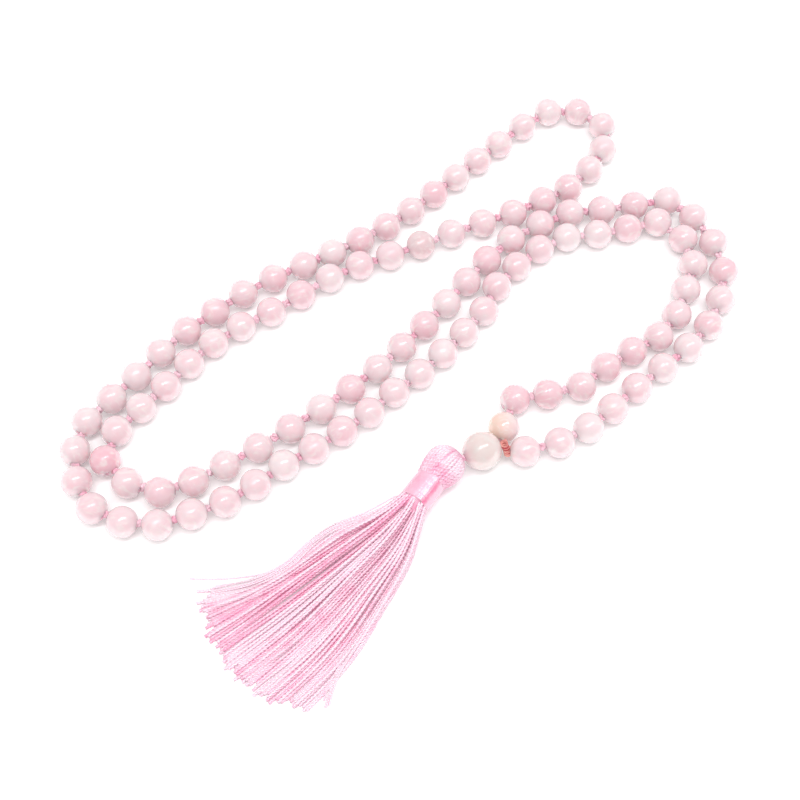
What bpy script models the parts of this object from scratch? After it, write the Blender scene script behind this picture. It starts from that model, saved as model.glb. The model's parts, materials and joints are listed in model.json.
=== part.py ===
"""A hand-knotted mala laid out on a table: 108 round beads, a larger guru bead and a tassel.

Metres, +Z up. The table is z = 0 and the origin is under the middle of the whole layout.
The strand leaves the guru bead, winds round the layout and comes back to the guru bead.
Its beads are joined two by two with their knots, and each pair is one object.
"""

import bmesh
import bpy
import numpy as np
from mathutils import Vector

MM = 0.001

# Driving dimensions.
BEAD_COUNT = 108
BEAD_RADIUS = 4.0 * MM
GURU_RADIUS = 5.0 * MM
KNOT_RADIUS = 1.2 * MM
NECK_RADIUS = 0.75 * MM
GAP = 0.3 * MM

# The closest that two bead centres may lie, on one thread and on two lanes side by side.
THREAD_PITCH = 8.75 * MM
LANE_PITCH = 8.42 * MM
SETTLE_ROUNDS = 600
SETTLE_STEP = 0.25

# The strand's route over the table: the number of a bead, and where its centre lies in mm.
ROUTE = (
    (1, 23.5, -18), (2, 27, -11), (4, 44.5, -6), (5, 51.5, 0), (7, 66.5, 10),
    (9, 75, 25), (10, 77, 33.5), (12, 68.5, 45), (13, 60.5, 44.5), (17, 29.5, 32),
    (19, 19.5, 18), (27, -32, -29), (30, -54, -42), (33, -78.5, -40.5), (35, -85, -25),
    (37, -77.5, -10), (43, -37.5, 28), (45, -21, 36.5), (53, 33, 81.5), (54, 41, 87),
    (56, 56, 81.5), (58, 51.5, 65.5), (63, 11.5, 43), (65, -5.5, 35.5), (66, -14, 32.5),
    (69, -37.5, 17), (71, -53, 7), (73, -64, -6), (76, -76.5, -26.5), (78, -63, -36.5),
    (79, -55, -33.5), (84, -15.5, -7), (91, 29, 40.5), (92, 36.5, 46.5), (94, 54, 51),
    (96, 72, 52.5), (100, 84, 21), (104, 59, -6.5), (107, 38, -22.5), (108, 29, -25),
)

GURU_CENTRE = Vector((18.0, -25.3, 5.0)) * MM
GURU_PITCH = GURU_RADIUS + BEAD_RADIUS + 0.35 * MM

# The gather knot sits in the corner between the guru bead and both ends of the strand.
GATHER_KNOT_CENTRE = Vector((24.1, -23.8, 4.6)) * MM
GATHER_KNOT_RADII = Vector((0.75, 1.2, 2.0)) * MM

# The tassel: a cord-covered ball, a wrapped band and a skirt that fans out over the table.
BALL_RADIUS = 5.2 * MM
BALL_CENTRE = Vector((7.5, -30.1, 5.2)) * MM
LOOP_KNOT_RADIUS = 1.4 * MM
BAND_DIRECTION = Vector((-0.588, -0.809, -0.03)).normalized()
BAND_LENGTH = 8.0 * MM
BAND_RADII = (3.9 * MM, 4.05 * MM, 4.4 * MM)
SKIRT_LENGTH = 62.0 * MM
SKIRT_HEIGHT_AT_BAND = 8.4 * MM
SKIRT_HEIGHT_AT_ENDS = 2.4 * MM

# The skirt's outline on the table, from the band round past the cut ends and back, in mm.
SKIRT_OUTLINE = (
    (-3.5, -37.4), (-10.0, -42.0), (-20.0, -45.0), (-25.0, -50.0), (-29.5, -54.8),
    (-39.5, -58.0), (-51.0, -61.0), (-51.2, -65.8), (-47.6, -72.0), (-42.0, -77.6),
    (-36.4, -84.0), (-30.6, -88.8), (-24.0, -90.8), (-20.2, -90.4), (-17.8, -83.6),
    (-12.8, -77.8), (-5.0, -64.2), (-1.6, -57.6), (0.8, -52.8), (2.2, -47.6),
    (4.0, -43.0),
)

# Sections along a ball, from its centre, as shares of its radius. A band cuts off the tassel's.
BEAD_SECTIONS = (-0.975, -0.6, 0.0, 0.6, 0.975)
GURU_SECTIONS = (-0.98, -0.8, -0.42, 0.0, 0.42, 0.8, 0.98)
BALL_SECTIONS = (-0.98, -0.8, -0.42, 0.0, 0.36, 0.65)
RING_RESOLUTION = 3
KNOT_SUBDIVISIONS = 2

ROSE_QUARTZ = ((0.93, 0.70, 0.74), 0.18)
PALE_QUARTZ = ((0.95, 0.86, 0.84), 0.15)
GATHER_THREAD = ((0.78, 0.30, 0.22), 0.70)
TASSEL_THREAD = ((0.95, 0.50, 0.68), 0.50)
SATIN_THREAD = ((0.96, 0.45, 0.66), 0.35)


def clear_scene():
    for item in list(bpy.data.objects):
        bpy.data.objects.remove(item)


def collection_named(name):
    made = bpy.data.collections.new(name)
    bpy.context.scene.collection.children.link(made)
    return made


def material(name, colour, roughness):
    made = bpy.data.materials.new(name)
    made.use_nodes = True
    shader = made.node_tree.nodes["Principled BSDF"]
    shader.inputs["Base Color"].default_value = (*colour, 1.0)
    shader.inputs["Roughness"].default_value = roughness
    made.diffuse_color = (*colour, 1.0)
    return made


def smooth_through(stations, points, wanted):
    """A natural cubic curve through the points at their stations, read at the wanted ones."""
    step = np.diff(stations)
    rows = np.eye(len(points))
    right = np.zeros_like(points)
    for i in range(1, len(points) - 1):
        rows[i, i - 1 : i + 2] = step[i - 1], 2 * (step[i - 1] + step[i]), step[i]
        rise_after = (points[i + 1] - points[i]) / step[i]
        rise_before = (points[i] - points[i - 1]) / step[i - 1]
        right[i] = 6 * (rise_after - rise_before)
    bend = np.linalg.solve(rows, right)
    read = []
    for station in wanted:
        i = min(np.searchsorted(stations, station, side="right") - 1, len(step) - 1)
        before = station - stations[i]
        after = stations[i + 1] - station
        cubic = (bend[i] * after**3 + bend[i + 1] * before**3) / (6 * step[i])
        low = (points[i] / step[i] - bend[i] * step[i] / 6) * after
        high = (points[i + 1] / step[i] - bend[i + 1] * step[i] / 6) * before
        read.append(cubic + low + high)
    return np.array(read)


def settle(centres):
    """Moves the bead centres apart, a little at a time, until no two beads press together."""
    first, second = np.triu_indices(len(centres), 1)
    limit = np.where(second - first == 1, THREAD_PITCH, LANE_PITCH)
    guru = np.array(GURU_CENTRE[:2])
    for _ in range(SETTLE_ROUNDS):
        apart = centres[second] - centres[first]
        distance = np.hypot(*apart.T)
        tight = distance < limit
        push = (limit - distance)[tight, None] * apart[tight] / distance[tight, None]
        np.add.at(centres, second[tight], SETTLE_STEP * push)
        np.add.at(centres, first[tight], -SETTLE_STEP * push)
        outwards = centres - guru
        reach = np.hypot(*outwards.T)[:, None]
        centres += np.where(reach < GURU_PITCH, GURU_PITCH - reach, 0) * outwards / reach / 2
    return centres


def bead_centres():
    stations = np.array([bead for bead, _, _ in ROUTE], float)
    points = np.array([(x, y) for _, x, y in ROUTE]) * MM
    flat = settle(smooth_through(stations, points, range(1, BEAD_COUNT + 1)))
    return [Vector((x, y, BEAD_RADIUS)) for x, y in flat]


def tube(name, sections, finish, collection):
    """One closed body round a path. A section is a point on the path and the radius there."""
    data = bpy.data.curves.new(name, "CURVE")
    data.dimensions = "3D"
    data.twist_mode = "Z_UP"
    data.bevel_depth = 1.0
    data.bevel_resolution = RING_RESOLUTION
    data.use_fill_caps = True
    spline = data.splines.new("POLY")
    spline.points.add(len(sections) - 1)
    for point, (place, radius) in zip(spline.points, sections):
        point.co = (*place, 1.0)
        point.radius = radius
    spline.use_smooth = True
    data.materials.append(finish)
    made = bpy.data.objects.new(name, data)
    collection.objects.link(made)
    return made


def ball_sections(centre, along, radius, shares):
    """Sections of a ball along its hole, at these shares of its radius from the centre."""
    return [(centre + along * radius * x, radius * np.sqrt(1 - x**2)) for x in shares]


def knot_sections(before, after):
    """A knot on the straight line between two beads, ending short of the bead before it."""
    along = (after - before).normalized()
    return [(before + along * (BEAD_RADIUS + GAP), NECK_RADIUS), ((before + after) / 2, KNOT_RADIUS)]


def bead_sections(before, centre, after):
    """A bead whose hole runs in from the one before it and out towards the next."""
    inwards = (centre - before).normalized()
    outwards = (after - centre).normalized()
    return ball_sections(centre, inwards, BEAD_RADIUS, BEAD_SECTIONS[:3]) + ball_sections(
        centre, outwards, BEAD_RADIUS, BEAD_SECTIONS[3:]
    )


def pair_sections(before, first, second, after):
    """The knot that leads to two beads, the first bead, the knot between them and the second.

    before is the bead that the thread comes from, or None next to the gather knot, which takes
    the place of the leading knot. after is the bead that the thread goes on to.
    """
    sections = knot_sections(before, first) if before else []
    sections += bead_sections(before or GATHER_KNOT_CENTRE, first, second)
    sections += knot_sections(first, second)[1:]
    sections += bead_sections(first, second, after)
    return sections


def far_knot_sections(last, beyond):
    """The knot halfway round the loop, from one side's last bead to just short of the other's."""
    return knot_sections(beyond, last)[::-1]


def make_side(centres, numbers, finish, collection):
    """One side of the strand, from the guru bead to halfway round the loop, pair by pair."""
    for k in range(0, len(numbers) - 1, 2):
        near, far = numbers[k], numbers[k + 1]
        step = far - near
        beyond = far + step
        before = centres[near - step] if k else None
        sections = pair_sections(before, centres[near], centres[far], centres[beyond])
        if beyond not in numbers and step > 0:
            sections += far_knot_sections(centres[far], centres[beyond])
        low, high = sorted((near, far))
        tube(f"beads_{low:03d}_{high:03d}", sections, finish, collection)


def make_strand(finish, collection):
    centres = dict(enumerate(bead_centres(), start=1))
    half = BEAD_COUNT // 2
    make_side(centres, range(1, half + 1), finish, collection)
    make_side(centres, range(BEAD_COUNT, half, -1), finish, collection)


def make_guru(quartz, thread, collection):
    along = (GATHER_KNOT_CENTRE - BALL_CENTRE).normalized()
    sections = ball_sections(GURU_CENTRE, along, GURU_RADIUS, GURU_SECTIONS)
    tube("guru_bead", sections, quartz, collection)

    body = bmesh.new()
    bmesh.ops.create_icosphere(body, subdivisions=KNOT_SUBDIVISIONS, radius=1.0)
    bmesh.ops.scale(body, vec=GATHER_KNOT_RADII, verts=body.verts)
    mesh = bpy.data.meshes.new("gather_knot")
    body.to_mesh(mesh)
    body.free()
    mesh.shade_smooth()
    mesh.materials.append(thread)
    knot = bpy.data.objects.new("gather_knot", mesh)
    knot.location = GATHER_KNOT_CENTRE
    collection.objects.link(knot)


def make_tassel_top(thread, satin, collection):
    """The knot at the guru bead's mouth, the ball that the cords cover, and the wrapped band."""
    to_ball = (BALL_CENTRE - GURU_CENTRE).normalized()
    knot_start = GURU_CENTRE + to_ball * (GURU_RADIUS + GAP)
    knot_end = BALL_CENTRE - to_ball * (BALL_RADIUS + GAP)
    knot = [
        (knot_start, NECK_RADIUS),
        ((knot_start + knot_end) / 2, LOOP_KNOT_RADIUS),
        (knot_end, NECK_RADIUS),
    ]
    tube("tassel_loop_knot", knot, thread, collection)

    ball = ball_sections(BALL_CENTRE, BAND_DIRECTION, BALL_RADIUS, BALL_SECTIONS)
    tube("tassel_head", ball, thread, collection)

    band_start = BALL_CENTRE + BAND_DIRECTION * (BALL_RADIUS * BALL_SECTIONS[-1] + GAP)
    step = BAND_LENGTH / (len(BAND_RADII) - 1)
    band = [
        (band_start + BAND_DIRECTION * step * i, radius) for i, radius in enumerate(BAND_RADII)
    ]
    tube("tassel_band", band, satin, collection)


def make_skirt(thread, collection):
    """The outline raised to a top that slopes down from the band to the cut ends."""
    body = bmesh.new()
    corners = [body.verts.new((x * MM, y * MM, 0.0)) for x, y in SKIRT_OUTLINE]
    bottom = body.faces.new(corners)
    raised = bmesh.ops.extrude_face_region(body, geom=[bottom])["geom"]
    neck = (corners[0].co + corners[-1].co) / 2
    fan = Vector((BAND_DIRECTION.x, BAND_DIRECTION.y, 0)).normalized()
    for item in raised:
        if isinstance(item, bmesh.types.BMVert):
            share = min(max((item.co - neck).dot(fan) / SKIRT_LENGTH, 0), 1)
            drop = (SKIRT_HEIGHT_AT_BAND - SKIRT_HEIGHT_AT_ENDS) * share
            item.co.z = SKIRT_HEIGHT_AT_BAND - drop
    bmesh.ops.recalc_face_normals(body, faces=body.faces)
    mesh = bpy.data.meshes.new("tassel_skirt")
    body.to_mesh(mesh)
    body.free()
    mesh.materials.append(thread)
    collection.objects.link(bpy.data.objects.new("tassel_skirt", mesh))


def main():
    clear_scene()
    mala = collection_named("mala_prayer_beads")
    tassel_thread = material("tassel_thread", *TASSEL_THREAD)
    make_strand(material("rose_quartz", *ROSE_QUARTZ), mala)
    make_guru(
        material("pale_quartz", *PALE_QUARTZ), material("gather_thread", *GATHER_THREAD), mala
    )
    make_tassel_top(tassel_thread, material("satin_thread", *SATIN_THREAD), mala)
    make_skirt(tassel_thread, mala)


main()
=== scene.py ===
"""The looks of the mala prayer beads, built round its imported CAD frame.

Metres, +Z up, in the frame's own coordinates: the table is z = 0. The strand's route is the CAD
model's, point by point, so each drilled bead sits where its CAD bead is. Shapes are laid out in mm
and made in metres.
"""

import json

import bpy
import numpy as np
from mathutils import Matrix, Vector

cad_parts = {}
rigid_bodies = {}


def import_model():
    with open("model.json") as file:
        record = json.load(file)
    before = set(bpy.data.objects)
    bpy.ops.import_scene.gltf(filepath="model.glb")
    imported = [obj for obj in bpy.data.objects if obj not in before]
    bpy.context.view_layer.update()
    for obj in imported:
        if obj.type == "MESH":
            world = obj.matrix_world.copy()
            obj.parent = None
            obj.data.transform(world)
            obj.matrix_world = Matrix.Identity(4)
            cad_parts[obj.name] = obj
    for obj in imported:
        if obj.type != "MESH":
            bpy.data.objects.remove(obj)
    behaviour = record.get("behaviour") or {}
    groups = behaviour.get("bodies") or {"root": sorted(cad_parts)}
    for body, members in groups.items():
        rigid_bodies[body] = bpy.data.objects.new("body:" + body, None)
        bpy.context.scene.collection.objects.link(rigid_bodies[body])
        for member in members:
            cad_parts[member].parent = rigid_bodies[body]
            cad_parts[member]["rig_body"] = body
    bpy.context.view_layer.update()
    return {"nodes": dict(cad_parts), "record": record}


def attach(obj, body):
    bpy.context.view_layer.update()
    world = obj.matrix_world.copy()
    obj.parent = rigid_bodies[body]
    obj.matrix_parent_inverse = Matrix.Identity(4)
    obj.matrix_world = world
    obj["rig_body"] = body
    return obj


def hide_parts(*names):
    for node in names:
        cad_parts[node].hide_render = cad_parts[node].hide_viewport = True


MM = 0.001
UP = np.array([0.0, 0.0, 1.0])

# The CAD model's driving dimensions, in mm.
BEAD_COUNT = 108
BEAD_RADIUS = 4.0
GURU_RADIUS = 5.0
THREAD_PITCH = 8.75
LANE_PITCH = 8.42
GURU_PITCH = GURU_RADIUS + BEAD_RADIUS + 0.35
SETTLE_ROUNDS = 600
SETTLE_STEP = 0.25
GURU_CENTRE = np.array([18.0, -25.3, 5.0])
GATHER_KNOT_CENTRE = np.array([24.1, -23.8, 4.6])
BALL_CENTRE = np.array([7.5, -30.1, 5.2])
BALL_RADIUS = 5.2
BAND_DIRECTION = np.array([-0.588, -0.809, -0.03])
BAND_START = 3.68
BAND_LENGTH = 8.0

# The CAD model's route: the number of a bead, and where its centre lies in mm.
ROUTE = (
    (1, 23.5, -18), (2, 27, -11), (4, 44.5, -6), (5, 51.5, 0), (7, 66.5, 10),
    (9, 75, 25), (10, 77, 33.5), (12, 68.5, 45), (13, 60.5, 44.5), (17, 29.5, 32),
    (19, 19.5, 18), (27, -32, -29), (30, -54, -42), (33, -78.5, -40.5), (35, -85, -25),
    (37, -77.5, -10), (43, -37.5, 28), (45, -21, 36.5), (53, 33, 81.5), (54, 41, 87),
    (56, 56, 81.5), (58, 51.5, 65.5), (63, 11.5, 43), (65, -5.5, 35.5), (66, -14, 32.5),
    (69, -37.5, 17), (71, -53, 7), (73, -64, -6), (76, -76.5, -26.5), (78, -63, -36.5),
    (79, -55, -33.5), (84, -15.5, -7), (91, 29, 40.5), (92, 36.5, 46.5), (94, 54, 51),
    (96, 72, 52.5), (100, 84, 21), (104, 59, -6.5), (107, 38, -22.5), (108, 29, -25),
)

# The camera looks down at the table along +Y.
CAMERA_TARGET = Vector((-2.8, -7.9, 0.0)) * MM
CAMERA_OFFSET = Vector((0.0, -169.7, 306.1)) * MM
CAMERA_LENS = 59.9

# How deep each bead's pink is, from 0 (almost white) to 1. The others differ by chance.
BEAD_DEPTHS = {1: 0.15, 4: 0.45, 5: 0.65, 6: 0.6, 22: 0.25, 31: 0.3, 64: 0.45, 76: 1.0, 99: 0.7}
YELLOW_BEADS = {1: 0.75}
GREY_BEADS = {64: 0.3}

# A bead's hole, the eased mouth of that hole, and the thread through it. THREAD_PLAY is the gap
# round the thread, and THREAD_INSET is how far inside a bead's surface its thread and knots end.
HOLE_RADIUS = 0.5
MOUTH_RADIUS = 0.68
THREAD_RADIUS = 0.42
THREAD_PLAY = 0.02
THREAD_INSET = 0.12
SMALLEST_BEAD = 0.99
BEAD_SEGMENTS = 44
BEAD_RINGS = 26

# The two plies of a cord: each ply's radius and how far its centre is off the cord's axis, as
# shares of the cord's radius, and how far the cord runs while the plies turn once.
PLY_RADIUS = 0.7
PLY_OFFSET = 0.3
CORD_SIDES = 12
CORD_TURN = 2.1
RINGS_PER_TURN = 8
FEWEST_RINGS = 12

# The cords over the ball swell past it a little, towards the guru bead.
HEAD_CENTRE = BALL_CENTRE + np.array([0.75, 0.25, 0.35])
HEAD_RADIUS = 5.4
RIB_COUNT = 32
RIB_RADIUS = 0.58
RIB_POINTS = 26
CORE_SIDES = 36
GATHER_TURNS = 14
GATHER_THREAD_RADIUS = 0.2

# The fold in the band's last layer: degrees round the band from its top, with the radius there,
# and with how deep the pink is there. That pink is painted shade, deepest in the fold's crease and
# paler past it.
SATIN_PITCH = 0.32
RINGS_PER_WRAP = 6
BAND_SIDES = 180
FOLD_DEGREES = (-180, -60, -10, 6, 16, 28, 33, 39, 48, 70, 120, 180)
FOLD_RADII = (3.85, 3.95, 4.0, 4.03, 4.16, 4.42, 4.42, 3.98, 3.9, 4.0, 4.0, 3.85)
FOLD_SHADE_DEGREES = (28, 34, 38, 42, 60)
FOLD_SHADE_DEPTHS = (-0.1, 0.1, 0.9, 0.5, -0.3)

SKIRT_CORDS = 96
SKIRT_BUNDLES = 7
SKIRT_CORD_RADIUS = 0.47
# The cords leave the band as a round bundle, which starts a little inside the band's end.
BUNDLE_RADIUS = 3.6
BUNDLE_INSET = 1.2
RELAX_ROUNDS = 140
GOLDEN_ANGLE = 2.39996

# The light of the surroundings, level with the table and straight up.
LEVEL_LIGHT = 0.53
OVERHEAD_LIGHT = 0.99
TABLE_HALF_WIDTH = 2.0


def unit(vectors):
    return vectors / np.linalg.norm(vectors, axis=-1, keepdims=True)


# ---- where the beads lie -------------------------------------------------------------------


def smooth_through(stations, points, wanted):
    """A natural cubic curve through the points at their stations, read at the wanted ones."""
    step = np.diff(stations)
    rows = np.eye(len(points))
    right = np.zeros_like(points)
    for i in range(1, len(points) - 1):
        rows[i, i - 1 : i + 2] = step[i - 1], 2 * (step[i - 1] + step[i]), step[i]
        rise_after = (points[i + 1] - points[i]) / step[i]
        rise_before = (points[i] - points[i - 1]) / step[i - 1]
        right[i] = 6 * (rise_after - rise_before)
    bend = np.linalg.solve(rows, right)
    read = []
    for station in wanted:
        i = min(np.searchsorted(stations, station, side="right") - 1, len(step) - 1)
        before = station - stations[i]
        after = stations[i + 1] - station
        cubic = (bend[i] * after**3 + bend[i + 1] * before**3) / (6 * step[i])
        low = (points[i] / step[i] - bend[i] * step[i] / 6) * after
        high = (points[i + 1] / step[i] - bend[i + 1] * step[i] / 6) * before
        read.append(cubic + low + high)
    return np.array(read)


def settle(centres):
    """Moves the bead centres apart, a little at a time, until no two beads press together."""
    first, second = np.triu_indices(len(centres), 1)
    limit = np.where(second - first == 1, THREAD_PITCH, LANE_PITCH)
    guru = GURU_CENTRE[:2]
    for _ in range(SETTLE_ROUNDS):
        apart = centres[second] - centres[first]
        distance = np.hypot(*apart.T)
        tight = distance < limit
        push = (limit - distance)[tight, None] * apart[tight] / distance[tight, None]
        np.add.at(centres, second[tight], SETTLE_STEP * push)
        np.add.at(centres, first[tight], -SETTLE_STEP * push)
        outwards = centres - guru
        reach = np.hypot(*outwards.T)[:, None]
        centres += np.where(reach < GURU_PITCH, GURU_PITCH - reach, 0) * outwards / reach / 2
    return centres


def bead_centres():
    """Bead number to its centre in mm."""
    stations = np.array([bead for bead, _, _ in ROUTE], float)
    points = np.array([(x, y) for _, x, y in ROUTE], float)
    flat = settle(smooth_through(stations, points, range(1, BEAD_COUNT + 1)))
    return {n: np.array([x, y, BEAD_RADIUS]) for n, (x, y) in enumerate(flat, start=1)}


# ---- meshes --------------------------------------------------------------------------------


class Builder:
    """Collects the parts of one mesh, in mm, with a number for each point under each name."""

    def __init__(self):
        self.points = []
        self.faces = []
        self.marks = {}
        self.count = 0

    def add(self, points, faces, **marks):
        self.points.append(points)
        self.faces += [tuple(int(i) + self.count for i in face) for face in faces]
        self.count += len(points)
        for name, value in marks.items():
            values = np.broadcast_to(np.asarray(value, float), (len(points),))
            self.marks.setdefault(name, []).append(values)

    def make(self, name, finish):
        mesh = bpy.data.meshes.new(name)
        mesh.from_pydata((np.concatenate(self.points) * MM).tolist(), [], self.faces)
        for mark, values in self.marks.items():
            layer = mesh.attributes.new(mark, "FLOAT", "POINT")
            layer.data.foreach_set("value", np.concatenate(values).astype(np.float32))
        mesh.shade_smooth()
        mesh.materials.append(finish)
        made = bpy.data.objects.new(name, mesh)
        bpy.context.scene.collection.objects.link(made)
        return made


def square_to(direction):
    """Two unit directions square to this one and to each other."""
    helper = UP if abs(direction[2]) < 0.9 else np.array([1.0, 0.0, 0.0])
    first = unit(np.cross(helper, direction))
    return first, np.cross(direction, first)


def tilted(vector, start, end):
    """The vector turned the way that takes one unit direction straight to another."""
    axis = np.cross(start, end)
    swept = np.cross(axis, vector)
    return vector + swept + np.cross(axis, swept) / (1 + start @ end)


def carried_frames(path):
    """Two directions square to a path at each of its points, turning as little as possible."""
    tangents = unit(np.gradient(path, axis=0))
    first = np.zeros_like(path)
    first[0] = square_to(tangents[0])[0]
    for i in range(1, len(path)):
        carried = first[i - 1] - tangents[i] * (first[i - 1] @ tangents[i])
        first[i] = unit(carried)
    return first, np.cross(tangents, first)


def grid_faces(rings, sides):
    """The quads between rings of points, each ring closed on itself."""
    ring = np.arange(rings - 1)[:, None] * sides
    side = np.arange(sides)[None, :]
    after = (side + 1) % sides
    corners = [ring + side, ring + after, ring + sides + after, ring + sides + side]
    return np.stack([np.broadcast_to(c, (rings - 1, sides)) for c in corners], -1).reshape(-1, 4)


def round_section(sides):
    angles = np.arange(sides) * 2 * np.pi / sides
    return np.stack([np.cos(angles), np.sin(angles)], -1)


def two_ply_section():
    """The outline of two plies lying together, each a circle."""
    angles = np.arange(CORD_SIDES) * 2 * np.pi / CORD_SIDES
    reach = PLY_OFFSET * abs(np.cos(angles))
    reach += np.sqrt(PLY_RADIUS**2 - (PLY_OFFSET * np.sin(angles)) ** 2)
    return np.stack([np.cos(angles), np.sin(angles)], -1) * reach[:, None]


def sweep(builder, path, radii, section, turn=0.0, **marks):
    """Adds a closed tube round a path. turn is the section's angle at each point of the path."""
    first, second = carried_frames(path)
    angle = np.broadcast_to(turn, (len(path),))[:, None, None]
    x, y = section[None, :, 0, None], section[None, :, 1, None]
    across = x * np.cos(angle) - y * np.sin(angle)
    along = x * np.sin(angle) + y * np.cos(angle)
    radius = np.broadcast_to(radii, (len(path),))[:, None, None]
    ring = across * first[:, None, :] + along * second[:, None, :]
    points = (path[:, None, :] + radius * ring).reshape(-1, 3)
    sides = len(section)
    faces = grid_faces(len(path), sides).tolist()
    faces.append(tuple(range(sides))[::-1])
    faces.append(tuple(range(len(points) - sides, len(points))))
    spread = {name: np.repeat(np.broadcast_to(v, (len(path),)), sides) for name, v in marks.items()}
    builder.add(points, faces, **spread)


def lengths_along(path):
    return np.concatenate([[0], np.cumsum(np.linalg.norm(np.diff(path, axis=0), axis=1))])


def resampled(path, count):
    """The same path as count points, evenly spaced, on a smooth curve through its own points."""
    distance = lengths_along(path)
    wanted = np.linspace(0, distance[-1], count)
    slopes = np.gradient(path, distance, axis=0)
    i = np.clip(np.searchsorted(distance, wanted, side="right") - 1, 0, len(path) - 2)
    gap = (distance[i + 1] - distance[i])[:, None]
    t = (wanted - distance[i])[:, None] / gap
    start, end = path[i], path[i + 1]
    near = (2 * t**3 - 3 * t**2 + 1) * start + (t**3 - 2 * t**2 + t) * gap * slopes[i]
    far = (3 * t**2 - 2 * t**3) * end + (t**3 - t**2) * gap * slopes[i + 1]
    return near + far


def cord(builder, path, radii, turn_start=0.0, turn_length=CORD_TURN, **marks):
    """Adds a two-ply twisted cord. radii and each mark are one number, or one for each point."""
    length = lengths_along(path)[-1]
    rings = max(int(length / turn_length * RINGS_PER_TURN), FEWEST_RINGS)
    fine = resampled(path, rings)
    share = np.linspace(0, 1, rings)
    turn = turn_start + share * length / turn_length * 2 * np.pi

    def spread(values):
        return np.interp(share, np.linspace(0, 1, np.size(values)), np.atleast_1d(values))

    fine_marks = {name: spread(values) for name, values in marks.items()}
    sweep(builder, fine, spread(radii), two_ply_section(), turn, **fine_marks)


def drilled_bead(builder, centre, along, radius, **marks):
    """Adds a ball with a hole through it along a direction, its mouths eased."""
    mouth = np.arcsin(MOUTH_RADIUS / radius)
    angles = np.linspace(mouth, np.pi - mouth, BEAD_RINGS)
    outside = np.stack([radius * np.cos(angles), radius * np.sin(angles)], -1)
    depth = radius * np.cos(mouth)
    ease = MOUTH_RADIUS - HOLE_RADIUS
    inside_right = [(-depth + 0.35 * ease, HOLE_RADIUS + 0.35 * ease), (-depth + ease, HOLE_RADIUS)]
    inside_left = [(depth - ease, HOLE_RADIUS), (depth - 0.35 * ease, HOLE_RADIUS + 0.35 * ease)]
    profile = np.concatenate([outside, inside_right, [(0.0, HOLE_RADIUS)], inside_left, outside[:1]])
    first, second = square_to(along)
    around = round_section(BEAD_SEGMENTS)
    ring = around[:, 0, None] * first + around[:, 1, None] * second
    points = centre + profile[:-1, 0, None, None] * along + profile[:-1, 1, None, None] * ring
    points = points.reshape(-1, 3)
    # A yellow bead's stain is strongest on its -X side.
    marks["yellow"] = marks["yellow"] * (0.5 - 0.5 * (points - centre)[:, 0] / radius)
    faces = grid_faces(len(profile), BEAD_SEGMENTS) % (BEAD_SEGMENTS * (len(profile) - 1))
    builder.add(points, faces.tolist(), **marks)


# ---- materials -----------------------------------------------------------------------------


class Finish:
    """A material, and short ways to add nodes to it."""

    def __init__(self, name):
        self.material = bpy.data.materials.new(name)
        self.material.use_nodes = True
        self.tree = self.material.node_tree
        self.shader = self.tree.nodes["Principled BSDF"]
        self.sockets = {socket.name.lower(): socket for socket in self.shader.inputs}

    def set(self, **values):
        for name, value in values.items():
            self.sockets[name.replace("_", " ")].default_value = value

    def node(self, kind, **settings):
        made = self.tree.nodes.new(kind)
        for name, value in settings.items():
            if name in made.inputs:
                made.inputs[name].default_value = value
            else:
                setattr(made, name, value)
        return made

    def link(self, start, end):
        self.tree.links.new(start, end)

    def place(self):
        return self.node("ShaderNodeTexCoord").outputs["Object"]

    def noise(self, scale, detail=2.0, distortion=0.0, stretch=None):
        made = self.node("ShaderNodeTexNoise", Scale=scale, Detail=detail, Distortion=distortion)
        source = self.place()
        if stretch:
            mapping = self.node("ShaderNodeMapping", Scale=stretch)
            self.link(source, mapping.inputs["Vector"])
            source = mapping.outputs["Vector"]
        self.link(source, made.inputs["Vector"])
        return made.outputs["Fac"]

    def mark(self, name):
        return self.node("ShaderNodeAttribute", attribute_name=name).outputs["Fac"]

    def ramp(self, value, *stops):
        """Stops are (position, colour) pairs, with colours as three numbers or one grey."""
        made = self.node("ShaderNodeValToRGB")
        elements = made.color_ramp.elements
        while len(elements) < len(stops):
            elements.new(0.5)
        for element, (position, colour) in zip(elements, stops):
            element.position = position
            element.color = (*(colour if np.size(colour) == 3 else (colour,) * 3), 1.0)
        self.link(value, made.inputs["Fac"])
        return made.outputs["Color"]

    def mix(self, share, first, second, blend="MIX"):
        made = self.node("ShaderNodeMix", data_type="RGBA", blend_type=blend)
        for source, socket in ((share, 0), (first, 6), (second, 7)):
            if isinstance(source, bpy.types.NodeSocket):
                self.link(source, made.inputs[socket])
            elif np.size(source) == 3:
                made.inputs[socket].default_value = (*source, 1.0)
            else:
                made.inputs[socket].default_value = source
        return made.outputs[2]

    def maths(self, operation, first, second=0.0, third=0.0):
        made = self.node("ShaderNodeMath", operation=operation)
        for source, socket in zip((first, second, third), made.inputs):
            if isinstance(source, bpy.types.NodeSocket):
                self.link(source, socket)
            else:
                socket.default_value = source
        return made.outputs[0]

    def between(self, value, low, high):
        """A number from 0 to 1 spread from low to high."""
        return self.maths("MULTIPLY_ADD", value, high - low, low)

    def bump(self, height, distance, strength):
        made = self.node("ShaderNodeBump", Distance=distance, Strength=strength)
        self.link(height, made.inputs["Height"])
        self.link(made.outputs["Normal"], self.shader.inputs["Normal"])

    def colour(self, source):
        self.link(source, self.shader.inputs["Base Color"])

    def roughness(self, source):
        self.link(source, self.shader.inputs["Roughness"])


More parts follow.
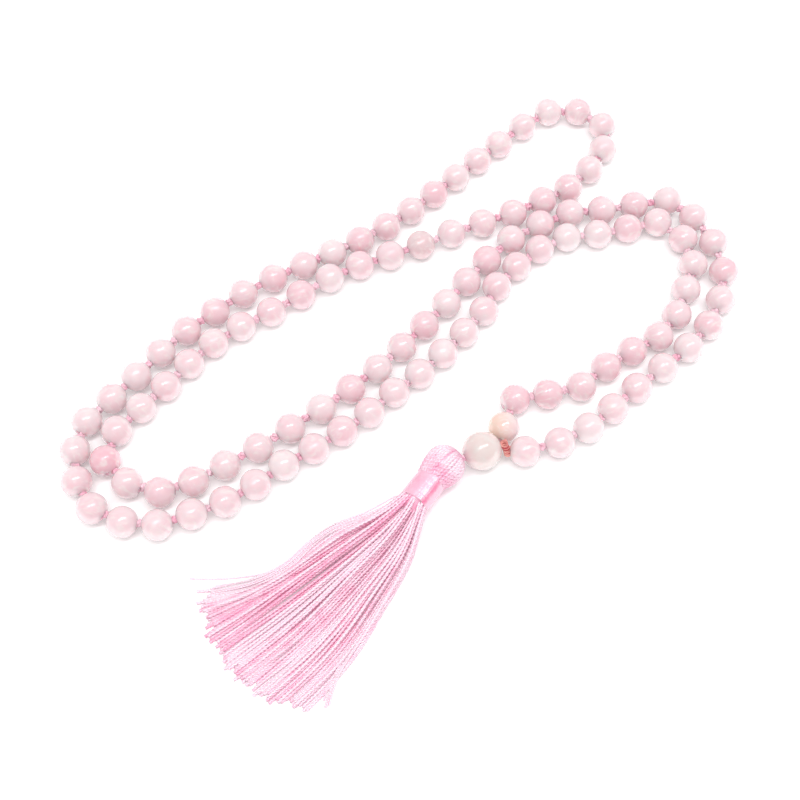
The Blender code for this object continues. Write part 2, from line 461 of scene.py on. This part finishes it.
def quartz(name, pale, deep, milk):
    """Polished cloudy quartz: soft patches of colour under milk-white wisps and fine flaws."""
    finish = Finish(name)
    clouds = finish.noise(150.0, detail=3.0, distortion=0.8)
    depth = finish.maths("MULTIPLY_ADD", clouds, 1.1, -0.55)
    depth = finish.maths("ADD", finish.mark("depth"), depth)
    body = finish.ramp(depth, (0.0, pale), (1.0, deep))
    yellow = finish.mix(finish.mark("yellow"), body, (0.86, 0.60, 0.44))
    grey = finish.mix(finish.mark("grey"), yellow, (0.55, 0.49, 0.46))
    wisps = finish.noise(240.0, detail=4.0, distortion=2.2, stretch=(1.0, 1.6, 0.7))
    wisp_share = finish.ramp(wisps, (0.52, 0.0), (0.70, 0.7))
    finish.colour(finish.mix(wisp_share, grey, milk))
    finish.roughness(finish.between(finish.noise(900.0, detail=3.0), 0.09, 0.12))
    finish.bump(finish.noise(500.0, detail=2.0), 0.000004, 0.3)
    finish.set(
        ior=1.54,
        subsurface_weight=1.0,
        subsurface_radius=(1.0, 0.7, 0.74),
        subsurface_scale=0.004,
        transmission_weight=0.12,
        specular_ior_level=0.6,
    )
    return finish.material


def thread(name, light, deep, roughness):
    """Dyed silky thread: strands of a little deeper and paler colour, with fine fibres."""
    finish = Finish(name)
    patches = finish.noise(330.0, detail=3.0)
    share = finish.maths("ADD", finish.maths("MULTIPLY", patches, 0.9), finish.mark("depth"))
    base = finish.ramp(share, (0.3, light), (0.9, deep))
    fibres = finish.noise(5200.0, detail=1.0, stretch=(1.0, 1.0, 0.6))
    shade = finish.ramp(fibres, (0.3, 0.88), (0.7, 1.0))
    finish.colour(finish.mix(1.0, base, shade, "MULTIPLY"))
    finish.roughness(finish.between(fibres, roughness - 0.06, roughness + 0.1))
    finish.bump(fibres, 0.00003, 0.4)
    finish.set(sheen_weight=0.1, sheen_roughness=0.4, sheen_tint=(1.0, 0.86, 0.92, 1.0))
    return finish


def make_finishes():
    knots = thread("knot_thread", (0.98, 0.68, 0.77), (0.92, 0.40, 0.55), 0.35)
    gather = thread("gather_thread", (0.97, 0.48, 0.42), (0.55, 0.04, 0.06), 0.5)
    cords = thread("tassel_cord", (0.96, 0.69, 0.80), (0.94, 0.33, 0.53), 0.24)
    cords.set(ior=1.75, specular_ior_level=1.0, subsurface_weight=0.4, subsurface_scale=0.0007)
    cords.set(subsurface_radius=(1.0, 0.75, 0.85))
    # The cords glow a faint pink of their own, a painted glow that stands in for light passing
    # through thin silk, so the gaps between the cords never go dark.
    cords.set(emission_color=(0.92, 0.48, 0.64, 1.0), emission_strength=0.08)
    satin = thread("satin_thread", (0.94, 0.49, 0.65), (0.92, 0.16, 0.36), 0.2)
    satin.set(ior=1.75, specular_ior_level=1.0, coat_weight=0.6, coat_roughness=0.15)
    return {
        "rose": quartz("rose_quartz", (0.83, 0.71, 0.725), (0.82, 0.52, 0.58), (0.84, 0.77, 0.75)),
        "pale": quartz("pale_quartz", (0.75, 0.67, 0.65), (0.74, 0.60, 0.59), (0.77, 0.73, 0.70)),
        "knot": knots.material,
        "gather": gather.material,
        "cord": cords.material,
        "satin": satin.material,
    }


# ---- the strand ----------------------------------------------------------------------------


def knot_path(start, end, lean, radius):
    """The thread from one bead's mouth to the next, tied in a tight overhand knot between."""
    along = unit(end - start)
    room = np.linalg.norm(end - start)
    first, second = square_to(along)
    up = np.cos(lean) * first + np.sin(lean) * second
    out = np.cross(along, up)
    t = np.linspace(np.pi + 0.55, 3 * np.pi - 0.55, 44)
    reach = max(room / 2 - 0.55 * THREAD_RADIUS, 0.28)
    x = -(np.sin(t) + 2 * np.sin(2 * t)) / 3 * reach
    y = (np.cos(t) - 2 * np.cos(2 * t)) / 3 * radius
    z = -np.sin(3 * t) * radius * 0.62
    loop = (start + end) / 2 + x[:, None] * along + y[:, None] * up + z[:, None] * out
    loop = loop if (loop[0] - start) @ along < (loop[-1] - start) @ along else loop[::-1]
    entry = [start - along * 0.5, start - along * 0.1]
    leaving = [end + along * 0.1, end + along * 0.5]
    return np.concatenate([entry, loop, leaving])


def make_knot(builder, near, far, rng):
    """Adds the knot between two beads. near and far are their centres."""
    along = unit(far - near)
    start = near + along * (BEAD_RADIUS - THREAD_INSET)
    end = far - along * (BEAD_RADIUS - THREAD_INSET)
    path = knot_path(start, end, rng.uniform(0, 2 * np.pi), rng.uniform(0.9, 1.1))
    depth = rng.uniform(-0.25, 0.25)
    cord(builder, path, THREAD_RADIUS, rng.uniform(0, 6), turn_length=1.3, depth=depth)


def pair_name(bead):
    low = bead if bead % 2 else bead - 1
    return f"beads_{low:03d}_{low + 1:03d}"


def bead_marks(bead, rng):
    chance = np.clip(rng.normal(0.38, 0.13), 0.08, 0.72)
    return {
        "depth": BEAD_DEPTHS.get(bead, chance),
        "yellow": YELLOW_BEADS.get(bead, 0.0),
        "grey": GREY_BEADS.get(bead, 0.0),
    }


def make_strand(frame, finishes):
    """The beads, a piece for each CAD pair, and the knots, a piece for each moving body."""
    centres = bead_centres()
    holes = {}
    rng = np.random.default_rng(108)
    neighbours = {0: GATHER_KNOT_CENTRE, BEAD_COUNT + 1: GATHER_KNOT_CENTRE, **centres}
    for low in range(1, BEAD_COUNT, 2):
        builder = Builder()
        for bead in (low, low + 1):
            through = neighbours[bead + 1] - neighbours[bead - 1] + rng.normal(0, 0.5, 3)
            size = BEAD_RADIUS * rng.uniform(SMALLEST_BEAD, 1.0)
            centre = centres[bead] + UP * (size - BEAD_RADIUS)
            drilled_bead(builder, centre, unit(through), size, **bead_marks(bead, rng))
            reach = np.linspace(-1, 1, 4)[:, None] * (size - THREAD_INSET)
            holes[bead] = centre + reach * unit(through)
        node = pair_name(low)
        made = builder.make(node.replace("beads", "quartz"), finishes["rose"])
        body = frame["nodes"][node]["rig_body"]
        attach(made, body)
        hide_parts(node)

    for body, nodes in frame["record"]["behaviour"]["bodies"].items():
        if not body.startswith("strand"):
            continue
        builder = Builder()
        beads = sorted(int(n) for node in nodes for n in node.split("_")[1:])
        # Each bead brings the knot on its side towards the guru bead.
        inwards = -1 if body.startswith("strand_a") else 1
        for bead in beads:
            sweep(builder, holes[bead], HOLE_RADIUS - THREAD_PLAY, round_section(12), depth=0.2)
            before = bead + inwards
            if before in centres:
                make_knot(builder, centres[before], centres[bead], rng)
        if BEAD_COUNT // 2 in beads:
            make_knot(builder, centres[BEAD_COUNT // 2], centres[BEAD_COUNT // 2 + 1], rng)
        made = builder.make(body.replace("strand", "knots"), finishes["knot"])
        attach(made, body)
    return centres


def make_guru_bead(finishes):
    through = unit(GATHER_KNOT_CENTRE - BALL_CENTRE)
    builder = Builder()
    drilled_bead(builder, GURU_CENTRE, through, GURU_RADIUS, depth=0.2, yellow=0.05, grey=0.0)
    guru = builder.make("guru_quartz", finishes["pale"])
    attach(guru, "guru")
    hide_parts("guru_bead")


def make_gather_knot(centres, finishes):
    """Turns of thread wound round the cords, which slant down to the right, and tails."""
    builder = Builder()
    rng = np.random.default_rng(3)
    for k in range(GATHER_TURNS):
        angle = np.linspace(0, 2 * np.pi * 1.2, 30) + rng.uniform(0, 6)
        down = k / (GATHER_TURNS - 1) - 0.5
        height = -2.6 * down + 0.25 * np.sin(angle + rng.uniform(0, 6))
        size = rng.uniform(0.7, 0.95)
        across = 1.2 * down + size * np.cos(angle)
        back = -0.7 - 1.4 * down + size * np.sin(angle)
        loop = np.stack([across, back, height], -1)
        depth = rng.uniform(-0.5, 0.7)
        cord(builder, GATHER_KNOT_CENTRE + loop, GATHER_THREAD_RADIUS, turn_length=0.7, depth=depth)
    ends = (
        (centres[1], BEAD_RADIUS),
        (centres[BEAD_COUNT], BEAD_RADIUS),
        (GURU_CENTRE, GURU_RADIUS),
    )
    for end, reach in ends:
        away = unit(end - GATHER_KNOT_CENTRE)
        stop = end - away * (reach - 0.15)
        path = np.linspace(GATHER_KNOT_CENTRE, stop, 6)
        cord(builder, path, 0.36, turn_length=1.2, depth=0.1)
    gather = builder.make("gather_knot_thread", finishes["gather"])
    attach(gather, "guru")
    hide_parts("gather_knot")


# ---- the tassel ----------------------------------------------------------------------------


def band_place(distance):
    """The point on the band's axis this far from the ball's centre."""
    return BALL_CENTRE + unit(BAND_DIRECTION) * distance


def make_loop_knot(finishes):
    """The knot between the guru bead and the ball."""
    to_guru = unit(GURU_CENTRE - BALL_CENTRE)
    builder = Builder()
    start = GURU_CENTRE - to_guru * (GURU_RADIUS - 0.15)
    end = BALL_CENTRE + to_guru * (BALL_RADIUS - 0.35)
    path = knot_path(start, end, 1.0, 0.85)
    cord(builder, path, 0.4, turn_length=1.3, depth=0.1)
    knot = builder.make("loop_knot_thread", finishes["cord"])
    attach(knot, "tassel_loop")
    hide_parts("tassel_loop_knot")


def make_head(finishes, rng):
    """Ribs of cord that run over the ball from its top to its neck, round a solid core."""
    band = unit(BAND_DIRECTION)
    axis = unit(unit(GURU_CENTRE - BALL_CENTRE) - band)
    first, second = square_to(axis)
    neck_first, neck_second = tilted(first, axis, -band), tilted(second, axis, -band)
    builder = Builder()
    for k in range(RIB_COUNT):
        around = 2 * np.pi * k / RIB_COUNT + rng.normal(0, 0.02)
        fall = np.radians(np.linspace(7, 132, RIB_POINTS))
        spin = around + 0.25 * np.linspace(0, 1, RIB_POINTS) + rng.normal(0, 0.01)
        reach = HEAD_RADIUS - RIB_RADIUS
        side = np.cos(spin)[:, None] * first + np.sin(spin)[:, None] * second
        ball_part = HEAD_CENTRE + reach * (
            np.cos(fall)[:, None] * axis + np.sin(fall)[:, None] * side
        )
        neck_side = np.cos(spin)[:, None] * neck_first + np.sin(spin)[:, None] * neck_second
        neck_part = band_place(BAND_START + 0.8) + 3.5 * neck_side
        share = np.clip((np.linspace(0, 1, RIB_POINTS) - 0.62) / 0.38, 0, 1)[:, None]
        share = share * share * (3 - 2 * share)
        path = ball_part * (1 - share) + neck_part * share
        radius = RIB_RADIUS * np.interp(np.sin(fall), [0.1, 0.6, 1.0], [0.3, 0.85, 1.04])
        # The pink is deeper at the ball's top and neck, and palest round its middle: a painted
        # highlight round the middle for the bright band that light draws across the ribs, with painted
        # shade towards the top and neck. Each rib's pink also differs a little by chance.
        depth = rng.uniform(-0.12, 0.12) + np.array([0.4, 0.3, 0.0, -0.3, -0.2, 0.1, 0.25, 0.25])
        cord(builder, path, radius, rng.uniform(0, 6), depth=depth)
    fall = np.linspace(0.03, np.pi - 0.03, 24)
    core_radius = HEAD_RADIUS - 1.1 * RIB_RADIUS
    core = HEAD_CENTRE - np.cos(fall)[:, None] * band * core_radius
    sweep(builder, core[::-1], np.sin(fall) * core_radius, round_section(CORE_SIDES), depth=0.3)
    neck = np.linspace(HEAD_CENTRE, band_place(BAND_START + 1.2), 6)
    sweep(builder, neck, np.linspace(4.6, 3.6, 6), round_section(CORE_SIDES), depth=0.3)
    head = builder.make("tassel_head_cords", finishes["cord"])
    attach(head, "tassel")
    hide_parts("tassel_head")


def make_band(finishes, rng):
    """One fine thread wound side by side from the ball to the skirt.

    Its last layer ends in a fold along the band, whose crease is painted a deeper pink as painted
    shade.
    """
    band = unit(BAND_DIRECTION)
    builder = Builder()
    rings = int(BAND_LENGTH / SATIN_PITCH) * RINGS_PER_WRAP
    share = np.linspace(0, 1, rings)
    wrap = np.floor(share * BAND_LENGTH / SATIN_PITCH).astype(int)
    stray = rng.normal(0, 1, (wrap.max() + 1, 2))[wrap]
    ridge = 0.05 * abs(np.sin(np.pi * share * BAND_LENGTH / SATIN_PITCH))
    ease = 0.5 * np.exp(-share * 30) + 0.3 * np.exp(-(1 - share) * 34)
    base = np.interp(share, [0, 0.5, 1], [-0.1, 0.0, 0.05]) + ridge - ease
    degrees = np.linspace(-180, 180, BAND_SIDES, endpoint=False)
    right, top = square_to(band)
    if right[0] < 0:
        right, top = -right, -top
    points = np.zeros((rings, BAND_SIDES, 3))
    depth = np.zeros((rings, BAND_SIDES))
    for k in range(rings):
        slid = degrees - 1.3 * stray[k, 0]
        radius = base[k] + np.interp(slid, FOLD_DEGREES, FOLD_RADII) + 0.012 * stray[k, 1]
        place = band_place(BAND_START + share[k] * BAND_LENGTH)
        turned = np.radians(degrees)[:, None]
        points[k] = place + radius[:, None] * (np.cos(turned) * top + np.sin(turned) * right)
        # Painted shade: the pink deepens in the fold's crease and pales past it.
        depth[k] = np.interp(slid, FOLD_SHADE_DEGREES, FOLD_SHADE_DEPTHS)
    builder.add(points.reshape(-1, 3), grid_faces(rings, BAND_SIDES).tolist(), depth=depth.ravel())
    wrap = builder.make("tassel_band_satin", finishes["satin"])
    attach(wrap, "tassel")
    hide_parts("tassel_band")


# The skirt's two sides over the table, from the band to the cut ends, in mm, and the straight
# way that its cords follow a share of the way across.
LEFT_SIDE = (
    (-3.3, -37.6), (-10, -42.2), (-20, -47), (-25.5, -51.4), (-30, -55.6), (-35.7, -58.9),
    (-39.7, -60.6), (-46.5, -61.9), (-53, -62.8),
)
STRAIGHT_WAY = ((-1.2, -39.4), (-48.4, -71.5))
RIGHT_SIDE = (
    (4.2, -43), (2.6, -47.6), (1, -52.8), (-1.5, -57.6), (-5.4, -64.2), (-12.4, -76.5), (-17.5, -83.5),
    (-24, -90.3),
)
STRAIGHT_SHARE = 0.27
STATIONS = 44

# The locks that the cords gather in: where each lies across the fan, from 0 at its left side to
# 1, how deep its pink is, how high it rides in mm, and how far it slants across its neighbours.
LOCKS = (
    (0.02, -0.30, 0.0, 0.000), (0.09, -0.15, 0.2, 0.008), (0.17, 0.10, 0.6, -0.006),
    (0.25, 0.30, 0.0, 0.010), (0.33, 0.15, 0.6, -0.010), (0.41, -0.05, 0.2, 0.008),
    (0.50, -0.20, 0.7, -0.006), (0.58, 0.00, 0.0, 0.010), (0.66, 0.15, 0.6, -0.010),
    (0.74, -0.15, 0.2, 0.004), (0.82, 0.20, 0.6, 0.006), (0.90, 0.00, 0.0, 0.008),
    (0.97, -0.20, 0.4, -0.004),
)

# Loose finer cords: the points (x, y, z) they follow in mm, how many lie side by side, how far
# apart, and their radius.
LOOSE_CORDS = (
    (
        ((-3, -39, 4.7), (-10, -42.3, 3.4), (-20.2, -46.1, 2.4), (-25, -49.9, 2.0),
         (-29.6, -54.6, 1.6), (-38.4, -59.4, 1.2), (-48.8, -61.6, 0.6)),
        6, 0.42, 0.27,
    ),
    (
        ((-22, -48.6, 2.0), (-29.5, -54.4, 1.5), (-35, -56.6, 0.9), (-41, -57.6, 0.4),
         (-47, -58.1, 0.3), (-54.2, -58, 0.3)),
        1, 0.0, 0.24,
    ),
    (
        ((-5, -62, 1.6), (-13.4, -75.4, 1.1), (-18.1, -83.5, 0.6), (-20.2, -90, 0.4)),
        4, 0.4, 0.26,
    ),
)


def side_line(corners):
    path = np.array([(x, y, 0.0) for x, y in corners])
    return resampled(path, STATIONS)[:, :2]


def relax_cords(places, guides, radii):
    """Lets the cords sink to the table and push each other aside, with their starts held.

    places and guides are (cord, station, xyz); guides draw each cord back to its own way.
    """
    hold = np.linspace(0, 1, places.shape[1])[None, :, None] ** 0.5
    first, second = np.triu_indices(len(places), 1)
    for _ in range(RELAX_ROUNDS):
        drawn = (guides - places) * np.array([0.06, 0.06, 0.01])
        drawn[..., 2] -= 0.035
        places = places + drawn * hold
        apart = places[second] - places[first]
        distance = np.linalg.norm(apart, axis=-1, keepdims=True)
        limit = (radii[None, :] * 1.8)[..., None]
        push = np.clip(limit - distance, 0, None) / np.maximum(distance, 0.05) * apart * 0.35
        moved = np.zeros_like(places)
        np.add.at(moved, second, push)
        np.add.at(moved, first, -push)
        places = places + np.clip(moved, -0.4, 0.4) * hold
        middle = (places[:, :-2] + places[:, 2:]) / 2
        places[:, 1:-1] += (middle - places[:, 1:-1]) * 0.3 * hold[:, 1:-1]
        places[..., 2] = np.maximum(places[..., 2], radii[None, :] * 0.98)
    return places


def packed_bundle(rng):
    """Each cord's place in the round bundle that leaves the band, from the fan's left side."""
    index = np.arange(SKIRT_CORDS)
    reach = BUNDLE_RADIUS * np.sqrt((index + 0.5) / SKIRT_CORDS)
    lateral = reach * np.cos(index * GOLDEN_ANGLE)
    height = reach * np.sin(index * GOLDEN_ANGLE)
    order = np.argsort(lateral + rng.normal(0, 0.5, SKIRT_CORDS))
    return lateral[order], height[order]


def fan_places():
    """Each cord's place across the fan, from 0 at its left side to 1."""
    return (np.arange(SKIRT_CORDS) + 0.5) / SKIRT_CORDS


def skirt_guides(start, lock, rng):
    """The way each cord would take by itself, as (cord, station, xyz).

    Each cord keeps its place in the fan, and leans towards the middle of its own lock.
    """
    left, straight, right = (side_line(way) for way in (LEFT_SIDE, STRAIGHT_WAY, RIGHT_SIDE))
    share = np.linspace(0, 1, STATIONS)
    band = unit(BAND_DIRECTION)
    across, upright = square_to(band)
    if across[:2] @ (right[0] - left[0]) < 0:
        across, upright = -across, -upright
    lateral, height = packed_bundle(rng)
    fan = fan_places()
    gathered = np.interp(share, [0.1, 0.4, 0.7, 1.0], [0.0, 0.25, 0.1, 0.0])
    guides = np.zeros((SKIRT_CORDS, STATIONS, 3))
    for k in range(SKIRT_CORDS):
        centre, _, rise, slant = lock[k]
        place = fan[k] + gathered * (centre - fan[k]) + (slant + rng.normal(0, 0.014)) * share
        near = np.clip(place / STRAIGHT_SHARE, None, 1)[:, None]
        far = np.clip((place - STRAIGHT_SHARE) / (1 - STRAIGHT_SHARE), 0, None)[:, None]
        way = left * (1 - near) + straight * (near - far) + right * far
        longer = np.interp(fan[k], [0, STRAIGHT_SHARE, 0.5, 0.75, 1], [0.95, 1, 1.07, 1.08, 1])
        longer += rng.normal(0, 0.014)
        reached = share * longer
        beyond = (way[-1] - way[-4]) / 3 * (STATIONS - 1)
        plan = np.stack([np.interp(reached, share, way[:, axis]) for axis in (0, 1)], -1)
        plan += beyond * (reached - 1).clip(0)[:, None]
        sway = rng.normal(0, 0.3) * np.sin(share * 4 + rng.uniform(0, 6))
        plan += unit(right - left) * (sway * share)[:, None]
        guides[k, :, :2] = plan
        guides[k, :, 2] = np.interp(share, [0, 0.12, 1], [5.0, 4.4, 1.2])
        guides[k, :, 2] += height[k] * np.interp(share, [0, 1], [1.0, 0.3]) + rise * share
        guides[k, 0] = start + across * lateral[k] + upright * height[k]
        blend = np.exp(-share * 12.0)[:, None]
        guides[k] = guides[k] * (1 - blend) + blend * (guides[k, 0] + band * share[:, None] * 60)
    return guides


def add_plug(builder, start):
    """A core inside the band's end, which closes the gaps between the cords there."""
    band = unit(BAND_DIRECTION)
    inside = np.linspace(start - band * 1.5, start + band * 4.0 - UP * 0.5, 6)
    sweep(builder, inside, (3.8, 3.8, 3.75, 3.3, 2.8, 2.2), round_section(24), depth=0.3)


def make_skirt(finishes):
    rng = np.random.default_rng(84)
    start = band_place(BAND_START + BAND_LENGTH - BUNDLE_INSET)
    locks = np.array(LOCKS)
    lock = locks[np.argmin(abs(fan_places()[:, None] - locks[:, 0]), axis=1)]
    guides = skirt_guides(start, lock, rng)
    share = np.linspace(0, 1, STATIONS)
    radii = SKIRT_CORD_RADIUS * np.interp(share, [0, 0.05, 0.2], [0.82, 0.88, 1.0])
    places = relax_cords(guides.copy(), guides, radii)

    for bundle in range(SKIRT_BUNDLES):
        builder = Builder()
        if bundle == 0:
            add_plug(builder, start)
        for k in range(bundle, SKIRT_CORDS, SKIRT_BUNDLES):
            thickness = radii * rng.uniform(0.92, 1.05)
            turn_length = CORD_TURN * rng.uniform(0.95, 1.1)
            depth = lock[k, 1] + rng.normal(0, 0.14)
            cord(builder, places[k], thickness, rng.uniform(0, 6), turn_length, depth=depth)
        if bundle == 0:
            add_loose_cords(builder, rng)
        made = builder.make(f"tassel_skirt_cords_{bundle + 1}", finishes["cord"])
        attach(made, "tassel")
        if bundle == 0:
            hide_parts("tassel_skirt")


def add_loose_cords(builder, rng):
    for points, count, spacing, radius in LOOSE_CORDS:
        middle = resampled(np.array(points, float), STATIONS)
        side = unit(np.cross(np.gradient(middle, axis=0), UP))
        share = np.linspace(0, 1, STATIONS)
        for k in range(count):
            offset = spacing * (k - (count - 1) / 2 + rng.normal(0, 0.3))
            wander = offset * (1 + 0.5 * np.sin(share * 4 + rng.uniform(0, 6)))
            path = middle + side * wander[:, None]
            path[:, 2] += rng.uniform(0, 0.5) * np.sin(share * np.pi)
            stop = STATIONS - rng.integers(0, 3)
            depth = rng.uniform(-0.5, -0.2)
            cord(builder, path[:stop], radius, rng.uniform(0, 6), turn_length=1.5, depth=depth)


# ---- stage ---------------------------------------------------------------------------------


def strip_light(name, place, size, power, turn):
    """An overhead strip that faces the origin. turn is its long side's angle from +X."""
    data = bpy.data.lights.new(name, "AREA")
    data.shape = "RECTANGLE"
    data.size, data.size_y = size
    data.energy = power
    made = bpy.data.objects.new(name, data)
    back = Vector(place).normalized()
    short = back.cross(Vector((np.cos(turn), np.sin(turn), 0.0))).normalized()
    made.rotation_euler = Matrix((short.cross(back), short, back)).transposed().to_euler()
    made.location = place
    bpy.context.scene.collection.objects.link(made)


def make_stage():
    scene = bpy.context.scene
    scene.view_settings.view_transform = "Standard"
    world = bpy.data.worlds.new("studio")
    world.use_nodes = True
    tree = world.node_tree
    background = tree.nodes["Background"]
    background.inputs["Color"].default_value = (1.0, 1.0, 1.0, 1.0)
    direction = tree.nodes.new("ShaderNodeTexCoord").outputs["Generated"]
    parts = tree.nodes.new("ShaderNodeSeparateXYZ")
    strength = tree.nodes.new("ShaderNodeMapRange")
    strength.inputs["To Min"].default_value = LEVEL_LIGHT
    strength.inputs["To Max"].default_value = OVERHEAD_LIGHT
    tree.links.new(direction, parts.inputs[0])
    tree.links.new(parts.outputs["Z"], strength.inputs["Value"])
    tree.links.new(strength.outputs["Result"], background.inputs["Strength"])
    scene.world = world

    mesh = bpy.data.meshes.new("table_top")
    half = TABLE_HALF_WIDTH
    corners = [(-half, -half, 0), (half, -half, 0), (half, half, 0), (-half, half, 0)]
    mesh.from_pydata(corners, [], [(0, 1, 2, 3)])
    finish = Finish("white_table")
    finish.colour(finish.ramp(finish.noise(60.0), (0.3, 0.93), (0.7, 0.95)))
    finish.set(roughness=0.9, specular_ior_level=0.1)
    finish.set(emission_color=(1.0, 1.0, 1.0, 1.0), emission_strength=0.13)
    mesh.materials.append(finish.material)
    floor = bpy.data.objects.new("table_top", mesh)
    scene.collection.objects.link(floor)

    strip_light("overhead_strip", (0.06, -0.09, 1.0), (1.15, 0.2), 5.9, np.radians(24))


def make_camera():
    data = bpy.data.cameras.new("camera")
    data.lens = CAMERA_LENS
    data.clip_start = 0.01
    made = bpy.data.objects.new("camera", data)
    made.location = CAMERA_TARGET + CAMERA_OFFSET
    made.rotation_euler = CAMERA_OFFSET.to_track_quat("Z", "Y").to_euler()
    bpy.context.scene.collection.objects.link(made)
    bpy.context.scene.camera = made


def main():
    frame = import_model()
    make_camera()
    make_stage()
    finishes = make_finishes()
    centres = make_strand(frame, finishes)
    make_guru_bead(finishes)
    make_gather_knot(centres, finishes)
    make_loop_knot(finishes)
    tassel_rng = np.random.default_rng(17)
    make_head(finishes, tassel_rng)
    make_band(finishes, tassel_rng)
    make_skirt(finishes)


main()
